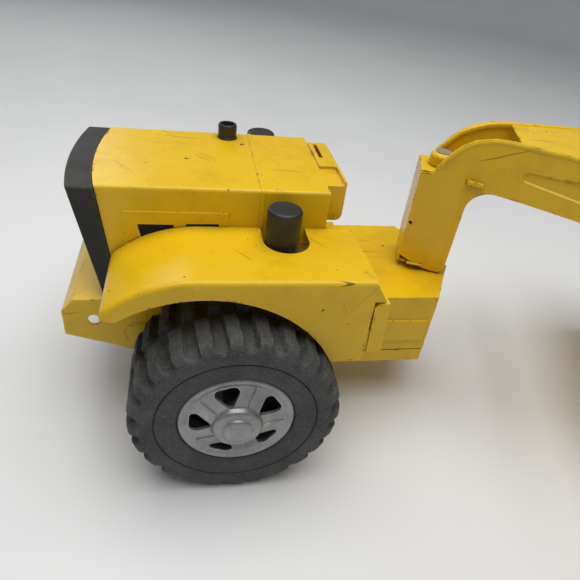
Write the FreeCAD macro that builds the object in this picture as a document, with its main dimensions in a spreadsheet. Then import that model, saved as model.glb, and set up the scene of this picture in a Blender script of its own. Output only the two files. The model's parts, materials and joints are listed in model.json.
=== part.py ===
"""A pressed-steel toy motor scraper: a single-axle tractor, a gooseneck and a two-wheeled bowl.

The frame: millimetres, +X forward along the bowl, +Y to the left, +Z up. The origin is on the ground
under the king pin. The tractor is modelled straight, then turned about the king pin by the steer angle.
"""
import FreeCAD, Part
import math
import os

from FreeCAD import Placement, Rotation, Vector

os.makedirs("parts", exist_ok=True)

SIZES = [
    ("steel", 1.5, "thickness of the pressed sheet steel"),
    ("steer_angle", 19, "turn of the tractor about the king pin, degrees"),
    ("tyre_radius", 60, "outside radius over the lugs"),
    ("tyre_width", 55, "width over the sidewalls"),
    ("rim_radius", 33, "radius where the tyre sits on the rim"),
    ("lug_count", 24, "lugs on each half of a tread"),
    ("track_half", 84.75, "axle centre to the middle of a wheel"),
    ("axle_radius", 3.2, "wheel axle"),
    ("running_gap", 0.07, "radial clearance of a running fit"),
    ("fit_gap", 0.3, "clearance between pieces that do not touch"),
    ("front_axle_x", 135.5, "king pin to the front axle"),
    ("rear_axle_x", 412, "king pin back to the rear axle"),
    ("deck_height", 98.3, "top of the chassis deck"),
    ("frame_half", 47.7, "half width of the chassis"),
    ("nose_seam", 186, "king pin forward to the seam between frame and nose"),
    ("frame_bottom", 53, "lower edge of the chassis sides"),
    ("nose_x", 234.8, "king pin to the chassis nose"),
    ("hood_seam", 121.4, "king pin forward to the bead across the hood"),
    ("hood_half", 43.6, "half width of the hood"),
    ("hood_top", 169, "top of the hood"),
    ("hood_front", 209.5, "hood front at its sides"),
    ("hood_rear", 83.2, "hood rear"),
    ("hood_rake", 6.5, "lean of the hood front, degrees"),
    ("grille_half", 44.8, "half width of the grille shell"),
    ("grille_front", 223.4, "grille shell front at its sides"),
    ("grille_rake", 10.6, "lean of the grille front, degrees"),
    ("bow", 4.3, "how far the hood and grille bow forward"),
    ("fender_half", 98, "centre line to a fender's outer face"),
    ("fender_top", 146, "top of a fender"),
    ("fender_low", 122.4, "bottom of the fender's tip"),
    ("fender_tip", 204.6, "king pin to a fender's front tip"),
    ("arch_radius", 77.5, "radius of a fender's wheel arch"),
    ("stub_radius", 9.55, "air cleaner radius"),
    ("shelf_top", 126, "bracket that an air cleaner stands on"),
    ("stub_top", 166, "top of an air cleaner"),
    ("pin_radius", 4, "king pin shaft"),
    ("pin_head_radius", 7.8, "king pin head"),
    ("pin_top", 180, "top of the king pin head"),
    ("post_half", 15.5, "half width of the gooseneck post"),
    ("post_bend", 15, "king pin back to where the side plates flare"),
    ("flare", 15.5, "flare of the gooseneck side plates, degrees"),
    ("yoke_x", 150, "king pin back to the yoke tube"),
    ("yoke_height", 152, "height of the yoke tube"),
    ("yoke_radius", 8, "yoke tube radius"),
    ("arm_inner", 101, "centre line to a draft arm's inner face"),
    ("arm_thick", 4, "draft arm thickness"),
    ("trunnion_x", 266, "king pin back to the bowl's draft pins"),
    ("trunnion_height", 60, "height of the bowl's draft pins"),
    ("trunnion_radius", 5, "draft pin radius"),
    ("bowl_half", 96, "centre line to a bowl side's outer face"),
    ("bowl_top", 122, "top of the bowl sides"),
    ("bowl_rear", 345, "king pin back to the end of the bowl sides"),
    ("edge_x", 201, "king pin back to the cutting edge's lip"),
    ("floor_front", 8, "height of the bowl floor at its front"),
    ("floor_rear", 21, "height of the bowl floor at its rear"),
    ("gate_x", 263, "king pin back to the apron's pivot"),
    ("gate_height", 95, "height of the apron's pivot"),
    ("gate_radius", 100, "outside radius of the curved apron"),
    ("gate_pin", 4, "apron pin radius"),
    ("rod_radius", 3, "ejector push rod"),
    ("rod_height", 97, "height of the push rod"),
    ("knob_radius", 7, "lever and push rod knobs"),
]

doc = FreeCAD.newDocument("motor_scraper")
sheet = doc.addObject("Spreadsheet::Sheet", "sizes")
for row, (alias, value, meaning) in enumerate(SIZES, 1):
    sheet.set(f"A{row}", meaning)
    sheet.set(f"B{row}", str(value))
    sheet.setAlias(f"B{row}", alias)
doc.recompute()

S = {alias: float(sheet.get(alias)) for alias, _, _ in SIZES}
STEEL = S["steel"]
SHELF_TOP = S["shelf_top"]
UP = Vector(0, 0, 1)
LEFT = Vector(0, 1, 0)
NODES = []


# ---------- shape helpers ----------

def edges_of(path, point):
    """Edges of a closed outline. A pair is a line's end; four numbers are an arc's middle and end."""
    edges = []
    start = point(*path[0][-2:])
    for step in path[1:] + [path[0][-2:]]:
        end = point(*step[-2:])
        if start.distanceToPoint(end) < 1e-6:
            continue
        if len(step) == 4:
            edges.append(Part.Arc(start, point(*step[:2]), end).toShape())
        else:
            edges.append(Part.makeLine(start, end))
        start = end
    return edges


def side_prism(path, y_low, y_high):
    """A solid whose outline is given in x and z, between two planes across the vehicle."""
    face = Part.Face(Part.Wire(edges_of(path, lambda x, z: Vector(x, y_low, z))))
    return face.extrude(Vector(0, y_high - y_low, 0))


def plan_prism(path, z_low, z_high, lean=0):
    """A solid whose outline is given in x and y, between two heights, leaning forward as it rises."""
    face = Part.Face(Part.Wire(edges_of(path, lambda x, y: Vector(x, y, z_low))))
    return face.extrude(Vector(lean, 0, z_high - z_low))


def block(x_low, x_high, y_low, y_high, z_low, z_high):
    """A rectangular solid between six planes."""
    return Part.makeBox(x_high - x_low, y_high - y_low, z_high - z_low, Vector(x_low, y_low, z_low))


def rod(radius, start, direction, length):
    """A round solid."""
    return Part.makeCylinder(radius, length, start, direction)


def across(radius, x, z, y_low, y_high):
    """A round solid lying across the vehicle."""
    return rod(radius, Vector(x, y_low, z), LEFT, y_high - y_low)


def turned(profile, axis=UP):
    """A solid of revolution about Z; the profile is given in radius and height."""
    wire = Part.Wire(edges_of(profile, lambda r, z: Vector(r, 0, z)))
    return Part.Face(wire).revolve(Vector(0, 0, 0), axis, 360)


def rounded(shape, radius, chosen):
    """The shape with its chosen edges rounded."""
    edges = [edge for edge in shape.Edges if chosen(edge)]
    return shape.makeFillet(radius, edges)


def mirrored(shape):
    """The same piece for the other side of the vehicle."""
    return shape.mirror(Vector(0, 0, 0), LEFT)


def both_sides(shape):
    """A piece and its mirror image, as separate solids."""
    return Part.makeCompound([shape, mirrored(shape)])


# ---------- document objects ----------

TRACTOR = Placement(Vector(0, 0, 0), Rotation(UP, S["steer_angle"]))
STRAIGHT = Placement()


def keep(feature, label, placement=None):
    """Names a finished sub-part and puts it in its place."""
    feature.Label = label
    if placement is not None:
        feature.Placement = placement
    NODES.append(feature)
    return feature


def shaped(label, shape, placement=STRAIGHT):
    """A sub-part whose shape is worked out here."""
    feature = doc.addObject("Part::Feature", label)
    feature.Shape = shape
    return keep(feature, label, placement)


def origin_part(body, role):
    """One of a body's own origin planes or axes."""
    return next(item for item in body.Origin.OriginFeatures if item.Role == role)


def sketch_on(body, name, role, path):
    """A sketch on one of the body's own planes."""
    sketch = body.newObject("Sketcher::SketchObject", name)
    sketch.AttachmentSupport = (origin_part(body, role), [""])
    sketch.MapMode = "FlatFace"
    for edge in edges_of(path, lambda a, b: Vector(a, b, 0)):
        sketch.addGeometry(curve_of(edge), False)
    return sketch


def curve_of(edge):
    """The sketch geometry of a straight or round edge."""
    start = edge.Vertexes[0].Point
    end = edge.Vertexes[1].Point
    if isinstance(edge.Curve, Part.Line):
        return Part.LineSegment(start, end)
    middle = edge.valueAt((edge.FirstParameter + edge.LastParameter) / 2)
    return Part.Arc(start, middle, end)


def turned_body(label, profile, placement):
    """A body turned about its own Z axis, from a profile in radius and height."""
    body = doc.addObject("PartDesign::Body", label)
    sketch = sketch_on(body, label + "_profile", "XZ_Plane", profile)
    turn = body.newObject("PartDesign::Revolution", label + "_turn")
    turn.Profile = sketch
    turn.ReferenceAxis = (origin_part(body, "Z_Axis"), [""])
    turn.Angle = 360
    body.Tip = turn
    return keep(body, label, placement)


def cylinder(label, radius, height, placement):
    """A plain round sub-part whose sizes follow the sheet."""
    feature = doc.addObject("Part::Cylinder", label)
    feature.setExpression("Radius", radius)
    feature.setExpression("Height", height)
    return keep(feature, label, placement)


def lying(x, y, z, outward=1):
    """A placement that lays a piece's Z axis across the vehicle, pointing left or right."""
    return Placement(Vector(x, y, z), Rotation(Vector(1, 0, 0), -90 * outward))


# ---------- tractor ----------

def frame_outline(inset=0):
    """The chassis seen from above: straight sides and a tapered tail."""
    half = S["frame_half"] - inset
    tail = [(-1.5, half), (-16.5 + inset, 20 - inset), (-22.5 + inset, 10 - inset)]
    mirror = [(x, -y) for x, y in reversed(tail)]
    return [(S["nose_x"], half)] + tail + mirror + [(S["nose_x"], -half)]


def chassis_shell():
    """The folded chassis: a deck with sides, nose and tail turned down, open below."""
    top = S["deck_height"]
    low = S["frame_bottom"]
    nose = S["nose_x"]
    half = S["frame_half"]
    side = [(-30, low), (-30, top), (nose - 7.1, top), (nose, 89.8), (nose, 72.6), (194.4, 58.6),
            (188, low)]
    inner_side = [(-30, low - 9), (-30, top - STEEL), (nose - 7.6, top - STEEL),
                  (nose - STEEL, 89.4), (nose - STEEL, low - 9)]
    outer = side_prism(side, -half, half).common(plan_prism(frame_outline(), 0, top))
    inner = side_prism(inner_side, -half, half).common(plan_prism(frame_outline(STEEL), 0, top))
    shell = outer.cut(inner)
    front_boss = [(193.4, 66), (200.3, 72.9, 193.4, 79.8), (90, 79.8), (90, 66)]
    rear_boss = [(2, 62), (2, 79.2), (45, 79.2), (45, 62)]
    for boss in (front_boss, rear_boss):
        shell = shell.fuse(side_prism(boss, half - 0.5, half + 1.2))
        shell = shell.fuse(side_prism(boss, -half - 1.2, -half + 0.5))
    shell = shell.cut(across(3.5, 217.2, 83.3, -60, 60))
    shell = shell.cut(across(S["axle_radius"] + 0.1, S["front_axle_x"], S["tyre_radius"], -60, 60))
    return shell.cut(rod(S["pin_radius"] + 0.1, Vector(0, 0, 60), UP, 60))


def chassis_part(x_low, x_high):
    """The length of the chassis between two planes across it."""
    return chassis_shell().common(block(x_low, x_high, -60, 60, 40, 110)).removeSplitter()


def bottom_pan():
    """The shallow tray under the tail of the chassis."""
    limits = block(-40, 96, -60, 60, 42, 52)
    outer = plan_prism(frame_outline(), 42, 52).common(limits)
    hollow = plan_prism(frame_outline(STEEL), 42 + STEEL, 53).common(block(-40, 96 - STEEL, -60, 60, 0, 60))
    return outer.cut(hollow).cut(rod(S["pin_radius"] + 0.1, Vector(0, 0, 30), UP, 30))


def raked_block(front, rear, half, z_low, z_high, rake):
    """A block whose bowed front leans forward."""
    lean = math.tan(math.radians(rake)) * (z_high - z_low)
    foot = front - lean
    plan = [(rear - lean, half), (rear - lean, -half), (foot, -half), (foot + S["bow"], 0, foot, half)]
    leaning = plan_prism(plan, z_low, z_high, lean)
    return leaning.common(block(rear, front + 20, -half - 1, half + 1, z_low, z_high))


def long_top_edge(z_high, half):
    """Picks the two edges that run forward along the top of a block."""
    def chosen(edge):
        box = edge.BoundBox
        along = box.XLength > 1 and box.YLength < 0.01 and box.ZLength < 0.01
        return along and abs(box.ZMax - z_high) < 0.01 and abs(abs(box.YMax) - half) < 0.01
    return chosen


def hood_shell():
    """The hood: a raked box with rounded top edges, louvre openings and an open bottom."""
    top = S["hood_top"]
    half = S["hood_half"]
    low = S["deck_height"]
    outer = raked_block(S["hood_front"], S["hood_rear"], half, low, top, S["hood_rake"])
    outer = rounded(outer, 2, long_top_edge(top, half))
    inner = raked_block(S["hood_front"] - STEEL, S["hood_rear"] + STEEL, half - STEEL, low, top - STEEL,
                        S["hood_rake"])
    seam_x = S["hood_seam"]
    bead = block(seam_x - 1.1, seam_x + 1.1, -half - 0.5, half + 0.5, S["fender_top"] + 0.3, top + 0.5)
    bead = rounded(bead, 2.3, long_top_edge(top + 0.5, half + 0.5))
    border = half + 0.45
    raised = side_prism([(139.5, 146.3), (139.5, 154.8), (196.5, 154.8), (196.5, 134.2),
                         (184.7, 140.8, 158, 146.4)], -border, border)
    raised = rounded(raised, 0.4, lambda edge: edge.BoundBox.YLength < 0.01)
    shell = outer.fuse(bead).fuse(raised).cut(inner)
    front_vent = [(169.5, 126), (169.5, 147), (189, 147), (187.5, 139), (185.5, 126)]
    rear_vent = [(144.9, 126), (144.9, 147.9), (162.8, 147.6), (162.8, 126)]
    for vent in (front_vent, rear_vent):
        shell = shell.cut(side_prism(vent, -60, 60))
    return shell


def grille_shell():
    """The dark shell round the radiator: it butts against the hood's front and has a front window."""
    top = S["hood_top"] - 0.8
    half = S["grille_half"]
    low = S["deck_height"]
    outer = raked_block(S["grille_front"], 190, half, low, top, S["grille_rake"])
    outer = rounded(outer, 1.8, long_top_edge(top, half))
    hollow = raked_block(S["grille_front"] - 3, 180, half - 2, low - 0.01, top - 1.4, S["grille_rake"])
    rear_cut = raked_block(S["hood_front"] + 0.15, 150, half + 0.1, low, S["hood_top"], S["hood_rake"])
    window = block(190, 250, -35, 35, 108, 160)
    return outer.cut(hollow).cut(rear_cut).cut(window)


def grille_bars():
    """Upright bars behind the grille window, on one plate."""
    plate = raked_block(S["grille_front"] - 4, 190, 42.6, S["deck_height"] + 0.5, 166.3, S["grille_rake"])
    back = raked_block(S["grille_front"] - 6.5, 170, 60, S["deck_height"] - 1, 180, S["grille_rake"])
    plate = plate.cut(back)
    for index in range(-5, 6):
        centre = index * 6.2
        plate = plate.cut(block(190, 250, centre - 1.7, centre + 1.7, 112, 156))
    return plate


def dash_panel():
    """The folded panel behind the hood, with a slot and a sunk corner in its top."""
    top = S["hood_top"] + 1
    half = 31
    rear = 70.5
    front = S["hood_rear"] - 0.2
    low = 145
    lid = block(rear, front, -half, half, top - STEEL, top)
    lip = block(rear, rear + STEEL, -half, half, top - 12, top)
    flange = side_prism([(front, low), (front, top), (rear, top), (rear, low + 4),
                         (rear + 1.2, low + 1.2, rear + 4, low)], half - STEEL, half)
    panel = lid.fuse(lip).fuse(flange).fuse(mirrored(flange))
    panel = panel.cut(block(77.6, 80, -28, -5.5, top - 5, top + 1))
    sunk = top - 2.4
    notch = block(rear + STEEL, front + 1, 8, half + 1, sunk, top + 1)
    tray = block(rear + 0.5, front, 7, half - 0.5, sunk - STEEL, sunk)
    riser = block(rear + 0.5, front, 7, 8, sunk - STEEL, top)
    return panel.fuse(tray).fuse(riser).cut(notch).removeSplitter()


def fender_roof(inset):
    """The fender's top line from its tip back to its rear slope, moved inward by a thickness."""
    top = S["fender_top"] - inset
    tip = S["fender_tip"] - inset
    shoulder = (201.8 - 0.62 * inset, 129.9 - 0.78 * inset)
    brow = (184.5 - 0.39 * inset, 140.1 - 0.92 * inset)
    return [(tip, S["fender_low"]), (tip - 0.4, 126.8 - 0.3 * inset) + shoulder, brow + (158, top)]


def fender():
    """The left fender: a flat top curving down to its tip, and an outer skirt cut to the wheel arch."""
    top = S["fender_top"]
    tip = S["fender_tip"]
    low = S["fender_low"]
    outer_y = S["fender_half"]
    radius = S["arch_radius"]
    arch_x = S["front_axle_x"] + 18
    arch_z = 58
    arch_rear = math.sqrt(radius ** 2 - (92.4 - arch_z) ** 2)
    arch_front = math.sqrt(radius ** 2 - (low - arch_z) ** 2)
    outline = fender_roof(0) + [(67.3, top), (59.5, 132.9), (59.5, 92.4), (arch_x - arch_rear, 92.4),
                                (arch_x - 20, arch_z + math.sqrt(radius ** 2 - 20 ** 2),
                                 arch_x + arch_front, low)]
    outer = side_prism(outline, S["hood_half"] + 0.05, outer_y)

    def outer_fold(edge):
        box = edge.BoundBox
        flat = abs(box.YMin - outer_y) < 0.01 and box.YLength < 0.01
        return flat and box.XLength > 2 and box.ZMin > 121 and box.ZMax > 125 and box.XMin > 66

    outer = rounded(outer, 2.6, outer_fold)
    rear_corner = [(68.2, top - STEEL), (60.9, 132.4), (58, 132.4), (58, 60)]
    hollow = [(tip - STEEL, 60)] + fender_roof(STEEL) + rear_corner
    inner = side_prism(hollow, S["hood_half"] - 1, outer_y - STEEL)
    slit = block(50, 66, outer_y - 6, outer_y + 1, 60, 133.5)
    notch_x = S["front_axle_x"] - 27
    notch = block(notch_x - 13, notch_x + 13, 40, 58, 130, 150)
    notch = notch.fuse(rod(13, Vector(notch_x, 58, 130), UP, 20))
    grille_room = block(tip - 8, tip + 2, 40, S["grille_half"] + 0.1, 100, 150)
    return outer.cut(inner).cut(slit).cut(notch).cut(grille_room)


def air_cleaner_shelf():
    """The bracket on the hood's left side that an air cleaner stands on, above the tyre."""
    stub_x = S["front_axle_x"] - 24.5
    shelf = block(stub_x - 12, stub_x + 12, S["hood_half"] + 0.02, 58, SHELF_TOP - STEEL, SHELF_TOP)
    round_end = rod(12, Vector(stub_x, 58, SHELF_TOP - STEEL), UP, STEEL)
    fold = block(stub_x - 12, stub_x + 12, S["hood_half"] + 0.02, S["hood_half"] + STEEL, SHELF_TOP - STEEL,
                 SHELF_TOP + 8)
    return shelf.fuse(round_end).fuse(fold).removeSplitter()


def fender_rear_plate():
    """The upright plate behind the left fender, its outer edge folded forward."""
    outer_y = S["fender_half"]
    low = 98.5
    high = 132.3
    wall = side_prism([(57.3, high), (55.5, low), (55.5 + STEEL, low), (57.3 + STEEL, high)], 48, outer_y)
    fold = side_prism([(57.3, high), (55.5, low), (64.1, low), (65.2, high - 3), (62.5, high)],
                      outer_y - STEEL, outer_y)
    foot = block(50, 57, 30, 49.5, low, low + STEEL)
    return wall.fuse(fold).fuse(foot).removeSplitter()


def tyre_shape():
    """A tyre about its own axis: a round-shouldered carcass with slanted lugs whose crowns are flat."""
    bead = S["rim_radius"]
    half = S["tyre_width"] / 2
    base = S["tyre_radius"] - 6
    carcass = turned([(bead, -half + 2), (bead + 11, -half - 1, base - 2, -half + 4),
                      (base + 0.5, -half + 8),
                      (base + 0.5, half - 8), (base - 2, half - 4), (bead + 11, half + 1, bead, half - 2)])
    lugs = []
    crown = Part.makeBox(9, 9.5, half - 2.5, Vector(S["tyre_radius"] - 9, -4.75, 1))
    shoulder = Part.makeBox(13, 9.5, 5, Vector(S["tyre_radius"] - 17, -4.75, half - 5.5))
    lug = crown.fuse(shoulder)
    trim = Part.makeBox(9, 30, 9, Vector(0, -15, 0))
    trim.Placement = Placement(Vector(S["tyre_radius"] - 4.5, 0, half - 0.5), Rotation(LEFT, 45))
    lug = lug.cut(trim)
    lug.rotate(Vector(0, 0, half / 2), Vector(1, 0, 0), 12)
    lug = lug.common(Part.makeCylinder(S["tyre_radius"] + 0.08, half * 4, Vector(0, 0, -half)))
    pitch = 360 / S["lug_count"]
    for index in range(int(S["lug_count"])):
        for side, phase in ((1, 0), (-1, 0.5)):
            piece = lug.copy()
            if side < 0:
                piece = piece.mirror(Vector(0, 0, 0), UP)
            piece.rotate(Vector(0, 0, 0), UP, pitch * (index + phase))
            lugs.append(piece)
    return carcass.multiFuse(lugs)


RIM_BARREL = [(3.27, -27), (7, -27), (7, 26.5), (14.2, 27.6), (20, 25.6), (26.5, 23.2), (31.4, 22.9),
              (31.4, -24), (32.95, -24)]
RIM_FACE = [(32.95, 24.6), (32.2, 25.7), (31, 26.1), (29.4, 25.8), (27.6, 25), (26, 25.5), (20, 27.7),
            (14.6, 29.7), (13.8, 30.6), (12.8, 31.5), (11, 32.1), (9, 32.25), (3.27, 32.25)]
WINDOW_CORNERS = [(13, 0, 2.3), (26.2, -10.2, 3.2), (26.2, 10.2, 3.2)]


def round_cornered(corners):
    """A closed path of ends and arcs from corners that each carry their own rounding radius."""
    path = []
    for index, (x, y, radius) in enumerate(corners):
        corner = Vector(x, y, 0)
        ahead = Vector(*corners[(index + 1) % len(corners)][:2], 0).sub(corner).normalize()
        behind = Vector(*corners[index - 1][:2], 0).sub(corner).normalize()
        half_angle = ahead.getAngle(behind) / 2
        start = corner.add(behind * (radius / math.tan(half_angle)))
        end = corner.add(ahead * (radius / math.tan(half_angle)))
        inward = ahead.add(behind).normalize()
        middle = corner.add(inward * (radius / math.sin(half_angle) - radius))
        path.append((start.x, start.y))
        path.append((middle.x, middle.y, end.x, end.y))
    return path


def rim(label, placement):
    """A pressed rim: a barrel, a dished disc with five windows, and a hub tube."""
    body = turned_body(label, RIM_BARREL + RIM_FACE, placement)
    window = sketch_on(body, label + "_window", "XY_Plane", round_cornered(WINDOW_CORNERS))
    cut = body.newObject("PartDesign::Pocket", label + "_cut")
    cut.Profile = window
    cut.Type = 1
    cut.Midplane = True
    doc.recompute()
    pattern = body.newObject("PartDesign::PolarPattern", label + "_windows")
    pattern.Originals = [cut]
    pattern.Axis = (origin_part(body, "Z_Axis"), [""])
    pattern.Angle = 360
    pattern.Occurrences = 5
    body.Tip = pattern
    return body


def wheel(name, x, y, outward, turn, tyre):
    """One wheel: tyre, rim and hub cap, lying across the vehicle with its outer side outward."""
    place = turn.multiply(lying(x, y, S["tyre_radius"], outward))
    shaped(name.replace("#", "tyre"), tyre, place.multiply(Placement(Vector(0, 0, 0), Rotation(UP, 90))))
    rim(name.replace("#", "rim"), place)
    cap = [(0, 32.3), (8, 32.3), (8, 33.3), (7, 34), (4, 34.4), (0, 34.5)]
    turned_body(name.replace("#", "hub_cap"), cap, place)


# ---------- gooseneck ----------

ARM_TOP = [(-40, 199), (-84, 199), (-106, 195.9, -128, 185.6)]


def neck_outline():
    """A gooseneck side plate seen from the side: the post, the arch over it and the arm to the yoke."""
    yoke = -S["yoke_x"]
    height = S["yoke_height"]
    post_top = [(12.8, 109), (12.8, 169.5), (4.6, 170.2), (3.6, 175.5), (-3.5, 185),
                (-8.5, 190.4, -15, 194.4),
                (-25, 197.7, -40, 199)]
    under = [(yoke, height + 13), (yoke - 13, height, yoke, height - 13), (-120, 153.8, -84, 162.7),
             (-52, 164.6),
             (-36, 165), (-25.2, 160.6, -20.7, 149), (-20.4, 104), (-17, 99.9), (-11, 99.9), (-2, 101.8)]
    return post_top + ARM_TOP[1:] + under


def neck_side():
    """The left gooseneck plate: flat at the post, flared along the arm, with a pressed hollow."""
    outer_y = S["post_half"]
    bend = -S["post_bend"]
    depth = 1
    plate = side_prism(neck_outline(), outer_y - STEEL, outer_y)
    hollow = [(-49.5, 177.4), (-46.6, 180.8, -49.8, 184), (-106, 186.4), (-118, 180, -108, 170.6)]
    plate = plate.fuse(side_prism(hollow, outer_y - STEEL - depth, outer_y - 0.5))
    tool = side_prism(hollow, outer_y - depth, outer_y + 3)
    floor_edges = [edge for edge in tool.Edges if edge.BoundBox.YMax < outer_y - depth + 0.01]
    plate = plate.cut(tool.makeChamfer(0.9, floor_edges))
    post = plate.common(block(bend, 20, 0, 40, 90, 210))
    arm = plate.common(block(-200, bend, 0, 40, 90, 210))
    arm.rotate(Vector(bend, outer_y - STEEL, 0), UP, -S["flare"])
    hole = across(S["yoke_radius"] + 0.05, -S["yoke_x"] + yoke_shift(), S["yoke_height"], 20, 80)
    return post.fuse(arm).cut(hole).cut(tab_slot()).cut(foot_slot())


def yoke_shift():
    """How much nearer the king pin the yoke hole comes when the arm is flared."""
    return (S["yoke_x"] - S["post_bend"]) * (1 - math.cos(math.radians(S["flare"])))


def tab_slot():
    """The slot in a side plate for a tab of the brace plate."""
    return block(-26.1, -15.9, 5, 30, 167.4, 169.1 + STEEL)


def foot_slot():
    """The slot in a side plate for a tab of the foot plate."""
    return block(-4.1, 6.1, 5, 30, 102.4, 102.6 + STEEL)


def arm_half(x):
    """Half the width between the side plates' inner faces at a distance behind the king pin."""
    spread = max(0, -S["post_bend"] - x) * math.tan(math.radians(S["flare"]))
    return S["post_half"] - STEEL * 1.04 + spread


def lowered(path, drop):
    """A path of ends and arcs moved down."""
    return [tuple(value - drop if index % 2 else value for index, value in enumerate(step))
            for step in path]


def neck_top():
    """The plate that roofs the arm between its side plates, from behind the post to the yoke."""
    upper = lowered(ARM_TOP + [(-144, 170.6)], 0.8)
    lower = lowered([(-144, 170.6), (-128, 185.6), (-106, 195.9, -84, 199), (-40, 199)], 0.8 + STEEL)
    strip = side_prism(upper + lower, -70, 70)
    near = arm_half(-40) - 0.1
    far = arm_half(-140) - 0.1
    plan = [(-40, near), (-140, far), (-140, -far), (-40, -near)]
    return strip.common(plan_prism(plan, 150, 210))


def neck_post():
    """The post's front wall, folded back at the top into the seat of the king pin's head."""
    half = S["post_half"] - STEEL - 0.02
    wall = block(12.8 - STEEL, 12.8, -half, half, 103, 171)
    seat = block(-12, 12.8, -half, half, 171 - STEEL, 171)
    return wall.fuse(seat).cut(rod(S["pin_radius"] + S["running_gap"], Vector(0, 0, 160), UP, 20))


def neck_foot():
    """The plate at the foot of the post that the king pin passes through."""
    half = S["post_half"] - STEEL - 0.02
    foot = block(-19, 11, -half, half, 102.5, 102.5 + STEEL)
    foot = foot.fuse(block(-4, 6, -half - 3, half + 3, 102.5, 102.5 + STEEL)).removeSplitter()
    return foot.cut(rod(S["pin_radius"] + S["running_gap"], Vector(0, 0, 90), UP, 30))


def neck_brace():
    """The cross plate behind the post, whose tabs show through the side plates."""
    half = S["post_half"] - STEEL - 0.1
    low = 167.5
    high = 169 + STEEL
    plate = block(-26, -16, -half, half, low, high)
    reach = [(-26, 20.9), (-26, -20.9), (-16, -18.2), (-16, 18.2)]
    tabs = plan_prism(reach, low, high)
    return plate.fuse(tabs).removeSplitter()


def draft_arm():
    """The left draft arm: a tapered plate from the yoke down to the bowl's pin."""
    low = S["arm_inner"]
    front = Vector(yoke_shift() - S["yoke_x"], 0, S["yoke_height"])
    rear = Vector(-S["trunnion_x"], 0, S["trunnion_height"])
    run = rear - front
    normal = Vector(-run.z, 0, run.x).normalize()
    corners = [front + normal * 13, front - normal * 13, rear - normal * 12, rear + normal * 12]
    middle = (front + rear) / 2
    path = [(corners[1].x, corners[1].z),
            (middle.x - 7 * normal.x, middle.z - 7 * normal.z, corners[2].x, corners[2].z),
            (corners[3].x, corners[3].z),
            (middle.x + 12 * normal.x, middle.z + 12 * normal.z, corners[0].x, corners[0].z)]
    arm = side_prism(path, low, low + S["arm_thick"])
    arm = arm.fuse(across(13, front.x, front.z, low, low + S["arm_thick"]))
    arm = arm.fuse(across(12, rear.x, rear.z, low, low + S["arm_thick"]))
    arm = arm.cut(across(S["yoke_radius"] + 0.05, front.x, front.z, 90, 110))
    pin_hole = across(S["trunnion_radius"] + S["running_gap"], rear.x, rear.z, 90, 110)
    return arm.cut(pin_hole).removeSplitter()


# ---------- bowl ----------

def floor_height(x):
    """Top of the bowl floor at a distance behind the king pin (x is negative)."""
    share = (-x - S["edge_x"]) / (S["bowl_rear"] - S["edge_x"])
    return S["floor_front"] + 2 + share * (S["floor_rear"] - S["floor_front"])


def bowl_side():
    """The left bowl side: its front edge is an arc that the apron swings round."""
    outer_y = S["bowl_half"]
    pivot_x = -S["gate_x"]
    pivot_z = S["gate_height"]
    reach = S["gate_radius"] - 2.6
    top = S["bowl_top"]
    rear = -S["bowl_rear"]

    def on_arc(height):
        return pivot_x + math.sqrt(reach ** 2 - (height - pivot_z) ** 2), height

    path = [on_arc(11), on_arc(55) + on_arc(top), (rear, top), (rear, floor_height(rear) - 2)]
    side = side_prism(path, outer_y - STEEL, outer_y)
    rim_fold = block(rear, pivot_x + 88, outer_y - 5, outer_y + 0.5, top - STEEL, top)
    side = side.fuse(rim_fold)
    side = side.cut(across(S["gate_pin"] + 0.02, pivot_x, pivot_z, 80, 110))
    return side.cut(across(S["trunnion_radius"] + 0.02, -S["trunnion_x"], S["trunnion_height"], 80, 110))


def bowl_floor():
    """The sloping floor between the bowl sides."""
    half = S["bowl_half"] - STEEL - 0.02
    front = -S["edge_x"] - 6
    rear = -S["bowl_rear"]
    return side_prism([(front, floor_height(front)), (rear, floor_height(rear)),
                       (rear, floor_height(rear) - 2), (front, floor_height(front) - 2)], -half, half)


def cutting_edge():
    """The bar under the front of the bowl floor, bevelled to a lip."""
    half = S["bowl_half"] - STEEL - 1
    front = -S["edge_x"]
    under = floor_height(front - 6) - 2.6
    return side_prism([(front, under - 2), (front - 6, under), (front - 22, under + 1.3),
                       (front - 22, under - 2), (front - 4, under - 3.4)], -half, half)


def bowl_rear_plate():
    """The cross plate behind the ejector, which guides its push rod."""
    rear = -S["bowl_rear"]
    half = S["bowl_half"]
    plate = block(rear - STEEL, rear, -half, half, floor_height(rear) - 2, 112)
    return plate.cut(rod(S["rod_radius"] + S["running_gap"], Vector(rear - 5, 0, S["rod_height"]),
                         Vector(1, 0, 0), 10))


def rear_beam():
    """The left beam that carries the rear axle."""
    front = -S["bowl_rear"] - STEEL
    rear = -S["rear_axle_x"] - 26
    beam = side_prism([(front, 45), (front, 90), (rear + 20, 84), (rear, 78), (rear, 46)], 40, 45)
    return beam.cut(across(S["axle_radius"] + 0.1, -S["rear_axle_x"], S["tyre_radius"], 30, 60))


def push_block():
    """The block across the rear of the frame that a pusher leans on."""
    front = -S["rear_axle_x"] - 26
    return rounded(block(front - 5, front, -45, 45, 46, 78), 2, lambda edge: edge.BoundBox.XMax < front - 4)


def headed_pin(radius, head, x, z, y_inner, y_outer):
    """A pin lying across the left side, with a domed head at its outer end."""
    pin = across(radius, x, z, y_inner, y_outer)
    cap = across(head, x, z, y_outer, y_outer + 1.6)
    cap = rounded(cap, 1, lambda edge: edge.CenterOfMass.y > y_outer + 1 and edge.BoundBox.XLength > head)
    return pin.fuse(cap)


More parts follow.
